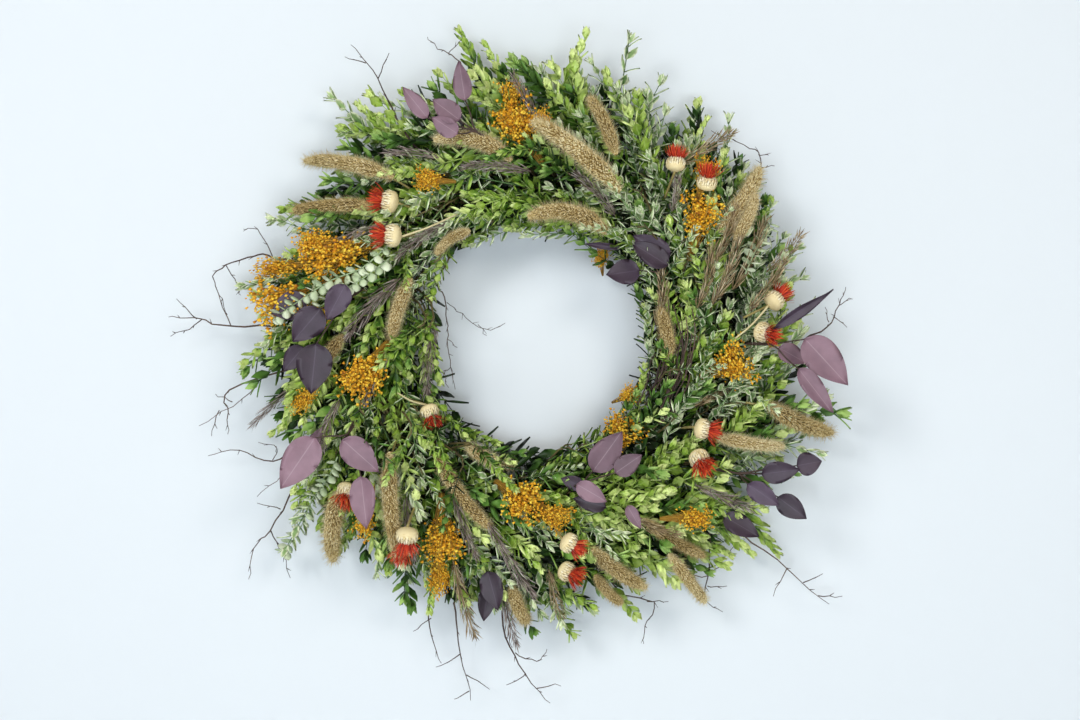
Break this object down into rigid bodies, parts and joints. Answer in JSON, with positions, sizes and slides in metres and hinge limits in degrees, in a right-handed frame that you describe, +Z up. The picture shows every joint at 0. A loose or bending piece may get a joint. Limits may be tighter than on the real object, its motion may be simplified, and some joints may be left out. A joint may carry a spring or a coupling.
{
  "type": "door wreath",
  "caption": "Round harvest wreath of wired greens, seed heads, dried blooms, plum leaves and twigs on a wire frame, hung by a bail.",
  "frame": {"origin": "underside of the top of the hanging bail, where the nail bears", "axes": "+Z up, -Y faces the room, +Y faces the door, +X to the right seen from the room"},
  "size_m": [0.656, 0.151, 0.6503],
  "materials": {
    "galvanised_wire": "dull zinc coating",
    "green_binding_wire": "green enamel",
    "preserved_greens": "matt to waxy preserved leaves",
    "foxtail_millet": "dry bristly seed head",
    "gold_bloom": "dry powdery florets",
    "safflower": "dry cream bracts with a red-orange tuft",
    "plum_eucalyptus": "smooth preserved leaf with a faint bloom",
    "birch_bark": "thin matt bark"
  },
  "bodies": {
    "hanger": {"hanger_bail": "galvanised_wire"},
    "wreath": {"binding_wire": "green_binding_wire", "birch_twig_01": "birch_bark", "birch_twig_02": "birch_bark", "birch_twig_03": "birch_bark", "birch_twig_04": "birch_bark", "eucalyptus_sprig_01": "plum_eucalyptus", "eucalyptus_sprig_02": "plum_eucalyptus", "eucalyptus_sprig_03": "plum_eucalyptus", "eucalyptus_sprig_04": "plum_eucalyptus", "eucalyptus_sprig_05": "plum_eucalyptus", "eucalyptus_sprig_06": "plum_eucalyptus", "eucalyptus_sprig_07": "plum_eucalyptus", "foxtail_01": "foxtail_millet", "foxtail_02": "foxtail_millet", "foxtail_03": "foxtail_millet", "foxtail_04": "foxtail_millet", "foxtail_05": "foxtail_millet", "foxtail_06": "foxtail_millet", "foxtail_07": "foxtail_millet", "foxtail_08": "foxtail_millet", "foxtail_09": "foxtail_millet", "foxtail_10": "foxtail_millet", "foxtail_11": "foxtail_millet", "foxtail_12": "foxtail_millet", "frame_brace_1": "galvanised_wire", "frame_brace_2": "galvanised_wire", "frame_brace_3": "galvanised_wire", "frame_brace_4": "galvanised_wire", "frame_ring_back_inner": "galvanised_wire", "frame_ring_back_outer": "galvanised_wire", "frame_ring_front_inner": "galvanised_wire", "frame_ring_front_outer": "galvanised_wire", "gold_bloom_01": "gold_bloom", "gold_bloom_02": "gold_bloom", "gold_bloom_03": "gold_bloom", "gold_bloom_04": "gold_bloom", "gold_bloom_05": "gold_bloom", "gold_bloom_06": "gold_bloom", "gold_bloom_07": "gold_bloom", "gold_bloom_08": "gold_bloom", "gold_bloom_09": "gold_bloom", "greens_bundle_01": "preserved_greens", "greens_bundle_02": "preserved_greens", "greens_bundle_03": "preserved_greens", "greens_bundle_04": "preserved_greens", "greens_bundle_05": "preserved_greens", "greens_bundle_06": "preserved_greens", "greens_bundle_07": "preserved_greens", "greens_bundle_08": "preserved_greens", "greens_bundle_09": "preserved_greens", "greens_bundle_10": "preserved_greens", "safflower_01": "safflower", "safflower_02": "safflower", "safflower_03": "safflower", "safflower_04": "safflower", "safflower_05": "safflower", "safflower_06": "safflower", "safflower_07": "safflower", "safflower_08": "safflower"}
  },
  "joints": [
    {"name": "wreath_swing", "type": "hinge", "parent": "hanger", "child": "wreath", "pos_m": [0, 0, -0.03], "axis": [-1, 0, 0], "range_deg": [0, 20]}
  ]
}
